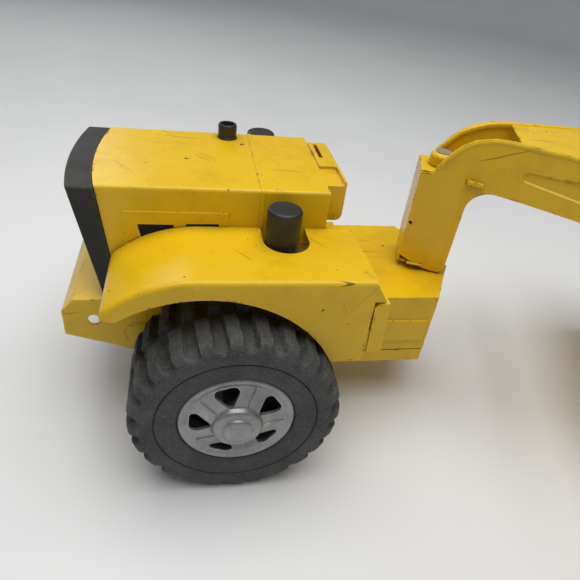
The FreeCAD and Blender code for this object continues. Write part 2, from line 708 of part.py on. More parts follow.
def apron_gate():
    """The curved apron: part of a drum about its pivot, across the whole front of the bowl."""
    pivot_x = -S["gate_x"]
    pivot_z = S["gate_height"]
    outer = S["gate_radius"]
    inner = outer - 2
    half = S["bowl_half"] + 3.6

    def on_drum(radius, height):
        return pivot_x + math.sqrt(radius ** 2 - (height - pivot_z) ** 2), height

    low = 11.5
    high = 104
    return side_prism([on_drum(outer, low), on_drum(outer, 55) + on_drum(outer, high),
                       on_drum(inner, high), on_drum(inner, 55) + on_drum(inner, low)], -half, half)


def apron_arm(lever):
    """The left apron arm outside the bowl side, from the curved plate to its pivot."""
    low = S["bowl_half"] + 0.9
    high = S["bowl_half"] + 3.4
    x = -S["gate_x"]
    z = S["gate_height"]
    reach = S["gate_radius"] - 2.05
    outline = [(x - 4, z - 8), (x + 95, 62), (x + 97.7, z), (x + 95, z + 8), (x - 2, z + 8)]
    arm = side_prism(outline, low, high)
    arm = arm.common(across(reach, x, z, low, high))
    arm = arm.fuse(across(9, x, z, low, high))
    if lever:
        handle = [(x - 6, z + 3), (x - 45, z + 56), (x - 38, z + 60), (x + 5, z + 5)]
        arm = arm.fuse(side_prism(handle, low, high))
    return arm.cut(across(S["gate_pin"] + S["running_gap"], x, z, 90, 110)).removeSplitter()


def ejector_plate():
    """The upright plate that pushes the load out, with a folded top edge."""
    front = -S["bowl_rear"] + 15
    half = S["bowl_half"] - STEEL - 0.7
    wall = block(front - STEEL, front, -half, half, 24, 116)
    fold = block(front - 8, front, -half + 4, half - 4, 116 - STEEL, 116)
    return wall.fuse(fold).removeSplitter()


# ---------- the assembly ----------

def make_tractor():
    """Every piece fixed to the tractor."""
    stub_x = S["front_axle_x"] - 24.5
    axle_z = S["tyre_radius"]
    shaped("chassis_frame", chassis_part(-40, S["nose_seam"]), TRACTOR)
    shaped("chassis_nose", chassis_part(S["nose_seam"], 250), TRACTOR)
    shaped("chassis_bottom_pan", bottom_pan(), TRACTOR)
    shaped("hood_shell", hood_shell(), TRACTOR)
    shaped("grille_shell", grille_shell(), TRACTOR)
    shaped("grille_bars", grille_bars(), TRACTOR)
    shaped("dash_panel", dash_panel(), TRACTOR)
    backing = block(141, 193, 39.8, 41, 120, 152)
    shaped("vent_backing", both_sides(backing), TRACTOR)
    left = fender()
    shaped("fender_left", left, TRACTOR)
    shaped("fender_right", mirrored(left), TRACTOR)
    plate = fender_rear_plate()
    shaped("fender_rear_plate_left", plate, TRACTOR)
    shaped("fender_rear_plate_right", mirrored(plate), TRACTOR)
    for side, name in ((1, "air_cleaner_left"), (-1, "air_cleaner_right")):
        place = TRACTOR.multiply(Placement(Vector(stub_x, side * 57.9, SHELF_TOP), Rotation()))
        stub = cylinder(name + "_barrel", "sizes.stub_radius", "sizes.stub_top - sizes.shelf_top", None)
        NODES.remove(stub)
        round_top = doc.addObject("Part::Fillet", name)
        round_top.Base = stub
        doc.recompute()
        top_edge = next(i for i, edge in enumerate(stub.Shape.Edges, 1)
                        if edge.BoundBox.ZMin > 1 and edge.BoundBox.ZLength < 0.01)
        round_top.Edges = [(top_edge, 1.8, 1.8)]
        keep(round_top, name, place)
    shaped("air_cleaner_shelves", both_sides(air_cleaner_shelf()), TRACTOR)
    exhaust = turned([(0, 0), (6.5, 0), (6.3, 0.9), (5.9, 1.2), (6, 8.2), (5.4, 9.2), (4.2, 9.2),
                      (4, 6), (0, 6)])
    exhaust_place = Placement(Vector(S["front_axle_x"] + 0.8, -34.9, S["hood_top"] + 0.01), Rotation())
    shaped("exhaust_stub", exhaust, TRACTOR.multiply(exhaust_place))
    axle_place = TRACTOR.multiply(lying(S["front_axle_x"], -105, axle_z))
    cylinder("front_axle", "sizes.axle_radius", "210", axle_place)
    spacer = across(6, S["front_axle_x"], axle_z, S["frame_half"] + 1.25, S["frame_half"] + 9.2)
    spacer = spacer.cut(across(S["axle_radius"] + 0.1, S["front_axle_x"], axle_z, 0, 99))
    shaped("front_axle_spacers", both_sides(spacer), TRACTOR)
    head = S["pin_head_radius"]
    pin = [(0, 44), (S["pin_radius"], 44), (S["pin_radius"], 171.4), (head, 171.4), (head, 176.6),
           (head - 0.6, 178.2), (head - 1.9, 179.3), (head - 4.2, S["pin_top"]), (0, S["pin_top"])]
    turned_body("king_pin", pin, TRACTOR)
    washer = [(S["pin_radius"] + 0.1, 0), (9.5, 0), (9.5, 1), (S["pin_radius"] + 0.1, 1)]
    lift = TRACTOR.multiply(Placement(Vector(0, 0, S["deck_height"] + 0.02), Rotation()))
    turned_body("king_pin_washer", washer, lift)


def make_wheels(tyre):
    """Two wheels on the tractor and two behind the bowl."""
    track = S["track_half"]
    wheel("front_#_left", S["front_axle_x"], track, 1, TRACTOR, tyre)
    wheel("front_#_right", S["front_axle_x"], -track, -1, TRACTOR, tyre)
    wheel("rear_#_left", -S["rear_axle_x"], track, 1, STRAIGHT, tyre)
    wheel("rear_#_right", -S["rear_axle_x"], -track, -1, STRAIGHT, tyre)


def make_gooseneck():
    """Every piece fixed to the gooseneck."""
    side = neck_side()
    shaped("gooseneck_side_left", side)
    shaped("gooseneck_side_right", mirrored(side))
    shaped("gooseneck_top_plate", neck_top())
    shaped("gooseneck_post_plate", neck_post())
    shaped("gooseneck_foot_plate", neck_foot())
    shaped("gooseneck_brace", neck_brace())
    yoke_place = lying(yoke_shift() - S["yoke_x"], -S["arm_inner"] - S["arm_thick"], S["yoke_height"])
    cylinder("yoke_cross_tube", "sizes.yoke_radius", "2 * (sizes.arm_inner + sizes.arm_thick)", yoke_place)
    arm = draft_arm()
    shaped("draft_arm_left", arm)
    shaped("draft_arm_right", mirrored(arm))


def make_bowl():
    """Every piece fixed to the bowl, and its rear axle."""
    side = bowl_side()
    shaped("bowl_side_left", side)
    shaped("bowl_side_right", mirrored(side))
    shaped("bowl_floor", bowl_floor())
    shaped("cutting_edge", cutting_edge())
    shaped("bowl_rear_plate", bowl_rear_plate())
    beam = rear_beam()
    shaped("rear_beam_left", beam)
    shaped("rear_beam_right", mirrored(beam))
    shaped("push_block", push_block())
    axle_z = S["tyre_radius"]
    cylinder("rear_axle", "sizes.axle_radius", "210", lying(-S["rear_axle_x"], -105, axle_z))
    spacer = across(6, -S["rear_axle_x"], axle_z, 45.02, S["frame_half"] + 9.2)
    spacer = spacer.cut(across(S["axle_radius"] + 0.1, -S["rear_axle_x"], axle_z, 0, 99))
    shaped("rear_axle_spacers", both_sides(spacer))
    half = S["bowl_half"]
    draft_pin = headed_pin(S["trunnion_radius"], 8, -S["trunnion_x"], S["trunnion_height"], half - STEEL,
                           S["arm_inner"] + S["arm_thick"] + 0.3)
    collar = across(8, -S["trunnion_x"], S["trunnion_height"], half + 0.02, S["arm_inner"] - 0.3)
    shaped("draft_arm_pins", both_sides(draft_pin.fuse(collar)))
    gate_pin = headed_pin(S["gate_pin"], 6.5, -S["gate_x"], S["gate_height"], half - STEEL, half + 3.7)
    shaped("apron_pins", both_sides(gate_pin))


def make_moving_pieces():
    """The apron with its lever, and the ejector with its push rod."""
    shaped("apron_gate", apron_gate())
    shaped("apron_arm_left", apron_arm(True))
    shaped("apron_arm_right", mirrored(apron_arm(False)))
    knob_place = lying(-S["gate_x"] - 41.5, S["bowl_half"] + 3.45, S["gate_height"] + 58)
    knob = S["knob_radius"]
    grip = [(0, 0), (knob - 2, 0), (knob, 3), (knob - 0.6, 7, knob - 3.5, 9.5), (0, 10)]
    turned_body("apron_lever_knob", grip, knob_place)
    shaped("ejector_plate", ejector_plate())
    back = -S["bowl_rear"] + 15 - STEEL
    rod_place = Placement(Vector(back - 0.02, 0, S["rod_height"]), Rotation(LEFT, -90))
    cylinder("ejector_push_rod", "sizes.rod_radius", "130", rod_place)
    end_place = Placement(Vector(back - 130.04, 0, S["rod_height"]), Rotation(LEFT, -90))
    turned_body("ejector_knob", grip, end_place)


make_tractor()
make_wheels(tyre_shape())
make_gooseneck()
make_bowl()
make_moving_pieces()
doc.recompute()

for item in doc.Objects:
    if "Invalid" in item.State or "Error" in item.State:
        raise RuntimeError(f"{item.Label} failed: {item.State}")
for node in NODES:
    shape = node.Shape
    if shape.isNull() or not shape.isValid() or not shape.Solids:
        raise RuntimeError(f"{node.Label} has no sound shape")
    shape.exportStep(f"parts/{node.Label}.step")
    print(f"{node.Label}: {len(shape.Solids)} solids, {shape.Volume:.0f} cubic mm")
print(f"{len(NODES)} nodes")
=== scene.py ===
"""The looks of the toy motor scraper: worn yellow enamel, a charcoal grille, silver rims and dusty tyres.

Blender units are metres in the row frame. Lengths written here in millimetres go through MM.
"""
import json
import math

import bmesh
import bpy
from mathutils import Matrix, Vector, noise


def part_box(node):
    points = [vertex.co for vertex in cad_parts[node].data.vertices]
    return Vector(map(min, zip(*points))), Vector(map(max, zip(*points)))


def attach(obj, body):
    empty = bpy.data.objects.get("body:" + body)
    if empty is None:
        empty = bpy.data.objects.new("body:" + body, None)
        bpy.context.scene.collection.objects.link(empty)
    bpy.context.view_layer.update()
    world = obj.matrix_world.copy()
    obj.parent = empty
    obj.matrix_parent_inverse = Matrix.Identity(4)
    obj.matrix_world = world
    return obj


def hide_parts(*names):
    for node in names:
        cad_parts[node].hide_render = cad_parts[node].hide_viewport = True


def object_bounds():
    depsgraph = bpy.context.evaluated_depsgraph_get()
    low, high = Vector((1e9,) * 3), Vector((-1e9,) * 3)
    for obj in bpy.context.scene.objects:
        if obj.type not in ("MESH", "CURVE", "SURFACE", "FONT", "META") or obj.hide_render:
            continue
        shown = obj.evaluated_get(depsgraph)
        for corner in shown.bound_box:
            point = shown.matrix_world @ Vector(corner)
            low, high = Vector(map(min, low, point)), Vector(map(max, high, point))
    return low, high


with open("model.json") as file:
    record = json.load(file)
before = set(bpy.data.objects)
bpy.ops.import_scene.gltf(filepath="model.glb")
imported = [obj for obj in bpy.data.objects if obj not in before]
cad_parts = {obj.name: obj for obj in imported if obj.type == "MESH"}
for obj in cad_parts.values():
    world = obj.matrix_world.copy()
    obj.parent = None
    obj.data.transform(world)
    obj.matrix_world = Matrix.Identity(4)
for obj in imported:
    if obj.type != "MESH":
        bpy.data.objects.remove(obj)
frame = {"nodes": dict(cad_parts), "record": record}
CAD_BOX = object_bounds()

MM = 0.001
STEER = math.radians(19)
UP = Vector((0, 0, 1))
WHEELS = ("front_left", "front_right", "rear_left", "rear_right")


# ---------- material helpers ----------

MASK_SAMPLES = 4
SPOT_BLUR = 0.012


class Shader:
    """A node tree with short calls for the nodes the materials need."""

    def __init__(self, name):
        self.material = bpy.data.materials.new(name)
        self.material.use_nodes = True
        self.tree = self.material.node_tree
        self.surface = self.tree.nodes["Principled BSDF"]
        self.place = self.add("ShaderNodeTexCoord").outputs["Object"]

    def add(self, kind, **settings):
        node = self.tree.nodes.new(kind)
        for key, value in settings.items():
            setattr(node, key, value)
        return node

    def feed(self, value, socket):
        if hasattr(value, "is_output"):
            self.tree.links.new(value, socket)
        else:
            socket.default_value = value

    def noise_node(self, scale, detail, roughness):
        """A noise texture laid over the object's own place."""
        node = self.add("ShaderNodeTexNoise")
        self.feed(self.place, node.inputs["Vector"])
        node.inputs["Scale"].default_value = scale
        node.inputs["Detail"].default_value = detail
        node.inputs["Roughness"].default_value = roughness
        return node

    def noise(self, scale, detail=4.0, roughness=0.55):
        return self.noise_node(scale, detail, roughness).outputs["Fac"]

    def dots(self, scale, share, small, large, where, flat=False):
        """Round spots, one in a share of the cells, each with its own size."""
        node = self.add("ShaderNodeTexVoronoi", feature="F1", voronoi_dimensions="2D" if flat else "3D")
        self.feed(where, node.inputs["Vector"])
        node.inputs["Scale"].default_value = scale
        parts = self.add("ShaderNodeSeparateColor")
        self.feed(node.outputs["Color"], parts.inputs["Color"])
        first = 1 - share
        size = self.ramp(parts.outputs["Red"], first, 1, small, large)
        chosen = self.ramp(parts.outputs["Red"], first, first + 0.001)
        inside = self.ramp(self.math("SUBTRACT", node.outputs["Distance"], size), SPOT_BLUR, 0.0)
        return self.math("MULTIPLY", inside, chosen)

    def shaken(self, amount, scale):
        """The place, pushed about by noise, so that round things become ragged."""
        node = self.noise_node(scale, 4.0, 0.5)
        centre = self.add("ShaderNodeVectorMath", operation="SUBTRACT")
        self.feed(node.outputs["Color"], centre.inputs[0])
        centre.inputs[1].default_value = (0.5, 0.5, 0.5)
        push = self.add("ShaderNodeVectorMath", operation="SCALE")
        self.feed(centre.outputs["Vector"], push.inputs[0])
        push.inputs["Scale"].default_value = amount
        total = self.add("ShaderNodeVectorMath", operation="ADD")
        self.feed(self.place, total.inputs[0])
        self.feed(push.outputs["Vector"], total.inputs[1])
        return total.outputs["Vector"]

    def stretched(self, scale, turn):
        """The place, stretched and turned, so that round spots become long scratches."""
        node = self.add("ShaderNodeMapping")
        node.vector_type = "TEXTURE"
        self.feed(self.shaken(0.003, 25.0), node.inputs["Vector"])
        node.inputs["Scale"].default_value = scale
        node.inputs["Rotation"].default_value = turn
        return node.outputs["Vector"]

    def ramp(self, value, low, high, out_low=0.0, out_high=1.0):
        node = self.add("ShaderNodeMapRange", clamp=True)
        self.feed(value, node.inputs["Value"])
        node.inputs["From Min"].default_value = low
        node.inputs["From Max"].default_value = high
        node.inputs["To Min"].default_value = out_low
        node.inputs["To Max"].default_value = out_high
        return node.outputs["Result"]

    def math(self, kind, a, b=0.0):
        node = self.add("ShaderNodeMath", operation=kind)
        self.feed(a, node.inputs[0])
        self.feed(b, node.inputs[1])
        return node.outputs[0]

    def mix(self, factor, a, b):
        node = self.add("ShaderNodeMix", data_type="RGBA")
        self.feed(factor, node.inputs[0])
        self.feed(a, node.inputs[6])
        self.feed(b, node.inputs[7])
        return node.outputs[2]

    def edge(self, radius, low, high):
        """A mask of sharp outer edges, from how far a rounded normal leaves the true one."""
        bevel = self.add("ShaderNodeBevel", samples=MASK_SAMPLES)
        bevel.inputs["Radius"].default_value = radius
        plain = self.add("ShaderNodeNewGeometry")
        dot = self.add("ShaderNodeVectorMath", operation="DOT_PRODUCT")
        self.feed(bevel.outputs["Normal"], dot.inputs[0])
        self.feed(plain.outputs["Normal"], dot.inputs[1])
        return self.ramp(dot.outputs["Value"], 1 - low, 1 - high)

    def painted_corner_shade(self, distance, most):
        """A mask of corners and gaps that nearby surfaces shut in, for painting shade there."""
        corner = self.add("ShaderNodeAmbientOcclusion", samples=MASK_SAMPLES)
        corner.inputs["Distance"].default_value = distance
        return self.ramp(corner.outputs["AO"], 0.3, 0.85, most, 0.0)

    def bump(self, height, strength, distance):
        node = self.add("ShaderNodeBump")
        self.feed(height, node.inputs["Height"])
        node.inputs["Strength"].default_value = strength
        node.inputs["Distance"].default_value = distance
        self.feed(node.outputs["Normal"], self.surface.inputs["Normal"])

    def finish(self, colour, roughness, metallic=0.0):
        self.feed(colour, self.surface.inputs["Base Color"])
        self.feed(roughness, self.surface.inputs["Roughness"])
        self.surface.inputs["Metallic"].default_value = metallic
        return self.material


# ---------- materials ----------

CHIP_SCALE = 85.0
CHIP_SHARE = 0.55
SPECK_SCALE = 210.0
SPECK_SHARE = 0.40
SCRATCH_SHARE = 0.03


def enamel(name, base, deep, dust, rust, wear, gloss, shine):
    """Old sprayed enamel: uneven tone, patchy grime, painted shade in the corners, chips, hairline scratches,
    and worn edges lightened partly as a painted highlight.
    """
    s = Shader(name)
    tone = s.ramp(s.noise(7.0, 3.0), 0.3, 0.7)
    colour = s.mix(tone, base, deep)
    # dust is the colour of the patchy grime, and also of the painted shade in the corners below.
    grime = s.ramp(s.noise(32.0, 7.0, 0.72), 0.50, 0.80, 0.0, 0.45)
    colour = s.mix(grime, colour, dust)
    # Painted shade: corners and gaps that nearby surfaces shut in are darkened towards the dust colour.
    colour = s.mix(s.painted_corner_shade(8 * MM, 0.6), colour, dust)
    ragged = s.shaken(0.005, 260.0)
    chips = s.dots(CHIP_SCALE, CHIP_SHARE * wear, 0.02, 0.11, ragged)
    specks = s.dots(SPECK_SCALE, SPECK_SHARE * wear, 0.02, 0.10, ragged)
    halo = s.math("MULTIPLY", s.dots(CHIP_SCALE, CHIP_SHARE * wear, 0.07, 0.17, ragged), 0.35)
    rim = s.edge(2.2 * MM, 0.012, 0.15)
    broken = s.ramp(s.noise(95.0, 6.0, 0.75), 0.615 - 0.05 * wear, 0.63 - 0.05 * wear)
    chips = s.math("MAXIMUM", chips, s.math("MULTIPLY", rim, broken))
    chips = s.math("MAXIMUM", chips, specks)
    long_way = s.stretched((0.05, 0.0011, 1), (0.7, 0.3, 0.5))
    cross_way = s.stretched((0.04, 0.0009, 1), (-0.6, 0.4, 2.3))
    marks = s.math("MAXIMUM", s.dots(1.0, SCRATCH_SHARE * wear, 0.05, 0.26, long_way, True),
                   s.dots(1.0, SCRATCH_SHARE * wear, 0.05, 0.24, cross_way, True))
    # Partly rubbed paint and partly painted highlight: sharp edges, and the rings round chips, are lightened
    # towards a paler copy of the base colour.
    pale_wear_and_highlight = tuple(min(1.0, c * 1.18 + 0.03) for c in base[:3]) + (1.0,)
    colour = s.mix(s.math("MULTIPLY", rim, 0.4), colour, pale_wear_and_highlight)
    colour = s.mix(halo, colour, pale_wear_and_highlight)
    colour = s.mix(s.math("MULTIPLY", marks, 0.75), colour, rust)
    colour = s.mix(chips, colour, rust)
    rough = s.ramp(s.noise(48.0, 5.0, 0.65), 0.3, 0.75, gloss, gloss + 0.16)
    rough = s.math("MAXIMUM", rough, s.math("MULTIPLY", chips, 0.75))
    height = s.math("SUBTRACT", s.math("MULTIPLY", s.noise(330.0, 3.0), 0.35), chips)
    s.bump(height, 0.4, 0.15 * MM)
    s.surface.inputs["Specular IOR Level"].default_value = shine
    return s.finish(colour, rough)


def rubber():
    """Worn tyre rubber: grey where it stands out, with painted shade in the gaps, fine pores and scuffs."""
    dark = (0.028, 0.030, 0.030, 1)
    dusty = (0.072, 0.075, 0.072, 1)
    rubbed = (0.15, 0.15, 0.145, 1)
    pore = (0.20, 0.20, 0.19, 1)
    scuff = (0.24, 0.24, 0.22, 1)
    # gap is the colour of the painted shade in the tyre's gaps and corners.
    gap = (0.018, 0.018, 0.018, 1)
    s = Shader("tyre_rubber")
    tone = s.ramp(s.noise(30.0, 6.0, 0.7), 0.35, 0.7)
    colour = s.mix(tone, dark, dusty)
    rim = s.edge(1.5 * MM, 0.01, 0.2)
    speckle = s.ramp(s.noise(1100.0, 3.0, 0.8), 0.52, 0.66)
    colour = s.mix(s.math("MULTIPLY", rim, 0.35), colour, rubbed)
    colour = s.mix(s.math("MULTIPLY", speckle, 0.45), colour, pore)
    scuffs = s.dots(420.0, 0.35, 0.03, 0.16, s.shaken(0.002, 500.0))
    colour = s.mix(s.math("MULTIPLY", scuffs, 0.6), colour, scuff)
    # Painted shade: gaps and corners that nearby surfaces shut in are darkened towards gap.
    colour = s.mix(s.painted_corner_shade(6 * MM, 0.7), colour, gap)
    rough = s.ramp(s.noise(90.0, 4.0), 0.3, 0.7, 0.62, 0.85)
    s.bump(s.noise(900.0, 4.0, 0.7), 0.45, 0.15 * MM)
    return s.finish(colour, rough)


def silver():
    """Silver-grey sprayed paint with a grain, brownish stains and a painted highlight along the edges."""
    dark = (0.22, 0.225, 0.225, 1)
    light = (0.36, 0.365, 0.365, 1)
    flake = (0.6, 0.6, 0.6, 1)
    brown = (0.22, 0.20, 0.16, 1)
    painted_edge_highlight = (0.75, 0.75, 0.74, 1)
    s = Shader("silver_paint")
    tone = s.ramp(s.noise(60.0, 5.0, 0.7), 0.35, 0.7)
    colour = s.mix(tone, dark, light)
    grain = s.ramp(s.noise(1300.0, 2.0), 0.45, 0.65, 0.0, 0.22)
    colour = s.mix(grain, colour, flake)
    stain = s.ramp(s.noise(45.0, 4.0, 0.7), 0.56, 0.72, 0.0, 0.5)
    colour = s.mix(stain, colour, brown)
    rim = s.edge(0.8 * MM, 0.02, 0.2)
    # Painted highlight: sharp edges are lightened towards a near-white grey.
    colour = s.mix(s.math("MULTIPLY", rim, 0.6), colour, painted_edge_highlight)
    rough = s.ramp(s.noise(80.0, 3.0), 0.3, 0.7, 0.30, 0.44)
    s.bump(s.noise(1100.0, 3.0), 0.35, 0.10 * MM)
    return s.finish(colour, rough, 0.6)


def plain_black():
    """Dull black plastic with a fine moulded texture and a little dust."""
    black = (0.016, 0.017, 0.014, 1)
    dust = (0.05, 0.048, 0.040, 1)
    rubbed = (0.16, 0.16, 0.15, 1)
    s = Shader("black_plastic")
    dusty = s.ramp(s.noise(50.0, 5.0, 0.65), 0.45, 0.75, 0.0, 0.5)
    colour = s.mix(dusty, black, dust)
    rim = s.edge(0.9 * MM, 0.02, 0.2)
    colour = s.mix(s.math("MULTIPLY", rim, 0.3), colour, rubbed)
    s.bump(s.noise(700.0, 3.0), 0.3, 0.1 * MM)
    return s.finish(colour, s.ramp(s.noise(70.0, 3.0), 0.3, 0.7, 0.38, 0.55))


def zinc():
    """Dull zinc-plated steel with a fine grain and rust spots."""
    dark = (0.34, 0.33, 0.27, 1)
    light = (0.56, 0.55, 0.47, 1)
    rust = (0.16, 0.10, 0.06, 1)
    s = Shader("zinc_steel")
    tone = s.ramp(s.noise(80.0, 5.0, 0.7), 0.35, 0.7)
    colour = s.mix(tone, dark, light)
    spots = s.ramp(s.noise(140.0, 5.0, 0.8), 0.62, 0.70, 0.0, 0.6)
    colour = s.mix(spots, colour, rust)
    s.bump(s.noise(900.0, 3.0), 0.2, 0.06 * MM)
    return s.finish(colour, s.ramp(s.noise(60.0, 3.0), 0.3, 0.7, 0.32, 0.5), 0.55)


def floor_paint():
    """The pale smooth floor."""
    dark = (0.78, 0.79, 0.80, 1)
    light = (0.82, 0.83, 0.84, 1)
    s = Shader("pale_floor")
    tone = s.ramp(s.noise(3.0, 2.0), 0.3, 0.7)
    colour = s.mix(tone, dark, light)
    s.surface.inputs["Specular IOR Level"].default_value = 0.35
    return s.finish(colour, s.ramp(s.noise(12.0, 2.0), 0.3, 0.7, 0.34, 0.42))


YELLOW = enamel("yellow_enamel", base=(0.80, 0.52, 0.010, 1), deep=(0.73, 0.44, 0.006, 1),
                dust=(0.38, 0.21, 0.010, 1), rust=(0.040, 0.022, 0.010, 1), wear=1.0, gloss=0.21, shine=0.36)
CHARCOAL = enamel("charcoal_enamel", base=(0.034, 0.035, 0.032, 1), deep=(0.027, 0.028, 0.026, 1),
                  dust=(0.060, 0.056, 0.045, 1), rust=(0.22, 0.15, 0.04, 1), wear=0.5, gloss=0.46, shine=0.18)
MATERIALS = {
    "yellow_enamel": YELLOW,
    "charcoal_enamel": CHARCOAL,
    "silver_paint": silver(),
    "tyre_rubber": rubber(),
    "black_plastic": plain_black(),
    "zinc_steel": zinc(),
}


# ---------- mesh helpers ----------

def add_object(name, data):
    """A new object in the scene."""
    added = bpy.data.objects.new(name, data)
    bpy.context.scene.collection.objects.link(added)
    return added


def new_object(name, mesh, slot):
    """An object of a finished mesh, painted with one of the record's slots."""
    piece = add_object(name, mesh)
    mesh.materials.append(MATERIALS[slot])
    return piece


def apply_modifiers(piece):
    """Turns the piece's modifiers into its mesh."""
    graph = bpy.context.evaluated_depsgraph_get()
    mesh = bpy.data.meshes.new_from_object(piece.evaluated_get(graph))
    piece.modifiers.clear()
    piece.data = mesh


def solid_mesh(name, verts, faces, weld=False):
    """A mesh whose faces all look outward, with its doubled points joined where that is asked for."""
    mesh = bpy.data.meshes.new(name)
    mesh.from_pydata(verts, [], faces)
    work = bmesh.new()
    work.from_mesh(mesh)
    if weld:
        bmesh.ops.remove_doubles(work, verts=work.verts, dist=1e-7)
    bmesh.ops.recalc_face_normals(work, faces=work.faces)
    work.to_mesh(mesh)
    work.free()
    return mesh


def ring_faces(steps, count):
    """The faces of a closed profile of count points, turned all the way round in steps."""
    faces = []
    for step in range(steps):
        after = (step + 1) % steps
        for index in range(count):
            follow = (index + 1) % count
            faces.append((step * count + index, after * count + index,
                          after * count + follow, step * count + follow))
    return faces


def revolve(profile, steps):
    """A mesh turned about Z from a closed profile of (radius, height) in millimetres."""
    verts = []
    for step in range(steps):
        angle = 2 * math.pi * step / steps
        for radius, height in profile:
            verts.append((radius * math.cos(angle) * MM, radius * math.sin(angle) * MM, height * MM))
    return solid_mesh("turned", verts, ring_faces(steps, len(profile)), weld=True)


def shade_smooth(piece, angle=32):
    """Smooth shading that keeps edges sharper than the angle, in degrees."""
    for polygon in piece.data.polygons:
        polygon.use_smooth = True
    piece.data.set_sharp_from_angle(angle=math.radians(angle))


def soften(piece, width, segments=2, angle=28):
    """Rounds a CAD node's or a piece's sharp edges without moving its faces."""
    weld = piece.modifiers.new("weld", "WELD")
    weld.merge_threshold = 1e-6
    flat = piece.modifiers.new("whole_faces", "DECIMATE")
    flat.decimate_type = "DISSOLVE"
    flat.angle_limit = math.radians(0.4)
    bevel = piece.modifiers.new("rounded_edges", "BEVEL")
    bevel.width = width
    bevel.segments = segments
    bevel.limit_method = "ANGLE"
    bevel.angle_limit = math.radians(angle)
    bevel.use_clamp_overlap = True
    level = piece.modifiers.new("even_normals", "WEIGHTED_NORMAL")
    level.keep_sharp = True
    for polygon in piece.data.polygons:
        polygon.use_smooth = True


# ---------- CAD nodes that stay ----------

def paint_cad_nodes():
    """Every CAD node gets its slot's material and softly rounded edges."""
    slots = {row["node"]: row["material_slot"] for row in frame["record"]["subparts"]}
    for name, node in frame["nodes"].items():
        node.data.materials.clear()
        node.data.materials.append(MATERIALS[slots[name]])
        if "custom_normal" in node.data.attributes:
            node.data.attributes.remove(node.data.attributes["custom_normal"])
        soften(node, 0.45 * MM)


# ---------- wheels ----------

# Lengths are in millimetres. The slant, the gap's half width and its flank are shares of a lug's pitch,
# and WORN_SCALE is the fineness of the wear's noise for each millimetre.
LUGS = 24
LUG_STEPS = 14
LUG_SLANT = 0.16
TREAD_HALF = 27.0
GAP_DEPTH = 4.3
GAP_HALF = 0.23
GAP_FLANK = 0.07
FADE_START = 52.4
FADE_LENGTH = 5.4
MIDDLE_HALF = 3.4
MIDDLE_FLANK = 1.6
WORN_DEPTH = 0.45
WORN_SCALE = 0.16
WORN_START = 50
WORN_LENGTH = 6
TYRE_RADIUS = 60

SIDEWALL = [(33.0, 23.5), (33.0, 25.2), (33.6, 26.2), (35.0, 26.7), (38.5, 27.1), (42.5, 27.5), (44.4, 27.7),
            (44.9, 27.5), (45.1, 26.8), (45.5, 26.8), (45.7, 27.8), (46.4, 28.2), (47.8, 28.5), (49.4, 28.6),
            (51.0, 28.6), (52.6, 28.5), (54.2, 28.2), (55.6, 27.7), (56.8, 27.0), (57.9, 26.1), (58.8, 25.0),
            (59.4, 23.8), (59.75, 22.4), (59.9, 20.6), (60.0, 18.4), (60.0, 16.0), (60.0, 13.4), (60.0, 10.8),
            (60.0, 8.2), (60.0, 5.8), (60.0, 4.0), (60.0, 2.8), (60.0, 1.8), (60.0, 1.0)]


def smooth_step(value):
    """A soft step from 0 to 1."""
    value = max(0.0, min(1.0, value))
    return value * value * (3 - 2 * value)


def gap_depth(angle, radius, height):
    """How deep the tread is cut at a point of the tyre, from 0 to 1."""
    side = 1 if height > 0 else -1
    reach = abs(height)
    phase = LUGS * angle / (2 * math.pi) + (0 if side > 0 else 0.5) + LUG_SLANT * reach / TREAD_HALF
    from_gap = 0.5 - abs((phase % 1.0) - 0.5)
    fade = smooth_step((radius - FADE_START) / FADE_LENGTH)
    width = GAP_HALF * (0.45 + 0.55 * fade)
    gap = smooth_step((width - from_gap) / GAP_FLANK + 0.5)
    middle = smooth_step((MIDDLE_HALF - reach) / MIDDLE_FLANK)
    return max(gap, middle) * fade


def tyre_mesh():
    """A worn earthmover tyre: slanted bar lugs whose gaps fade into a sidewall with a groove."""
    profile = SIDEWALL + [(radius, -height) for radius, height in reversed(SIDEWALL)]
    steps = LUGS * LUG_STEPS
    count = len(profile)
    verts = []
    for step in range(steps):
        angle = 2 * math.pi * step / steps
        for index, (radius, height) in enumerate(profile):
            before = profile[max(0, index - 1)]
            after = profile[min(count - 1, index + 1)]
            normal = Vector((before[1] - after[1], after[0] - before[0]))
            normal.normalize()
            depth = gap_depth(angle, radius, height)
            spot = Vector((math.cos(angle) * radius, math.sin(angle) * radius, height)) * WORN_SCALE
            worn = WORN_DEPTH * max(0.0, noise.noise(spot)) * smooth_step((radius - WORN_START) / WORN_LENGTH)
            drop = GAP_DEPTH * depth + worn
            out = radius - drop * abs(normal.x)
            along = height - drop * normal.y
            verts.append((out * math.cos(angle) * MM, out * math.sin(angle) * MM, along * MM))
    return solid_mesh("tyre", verts, ring_faces(steps, count))


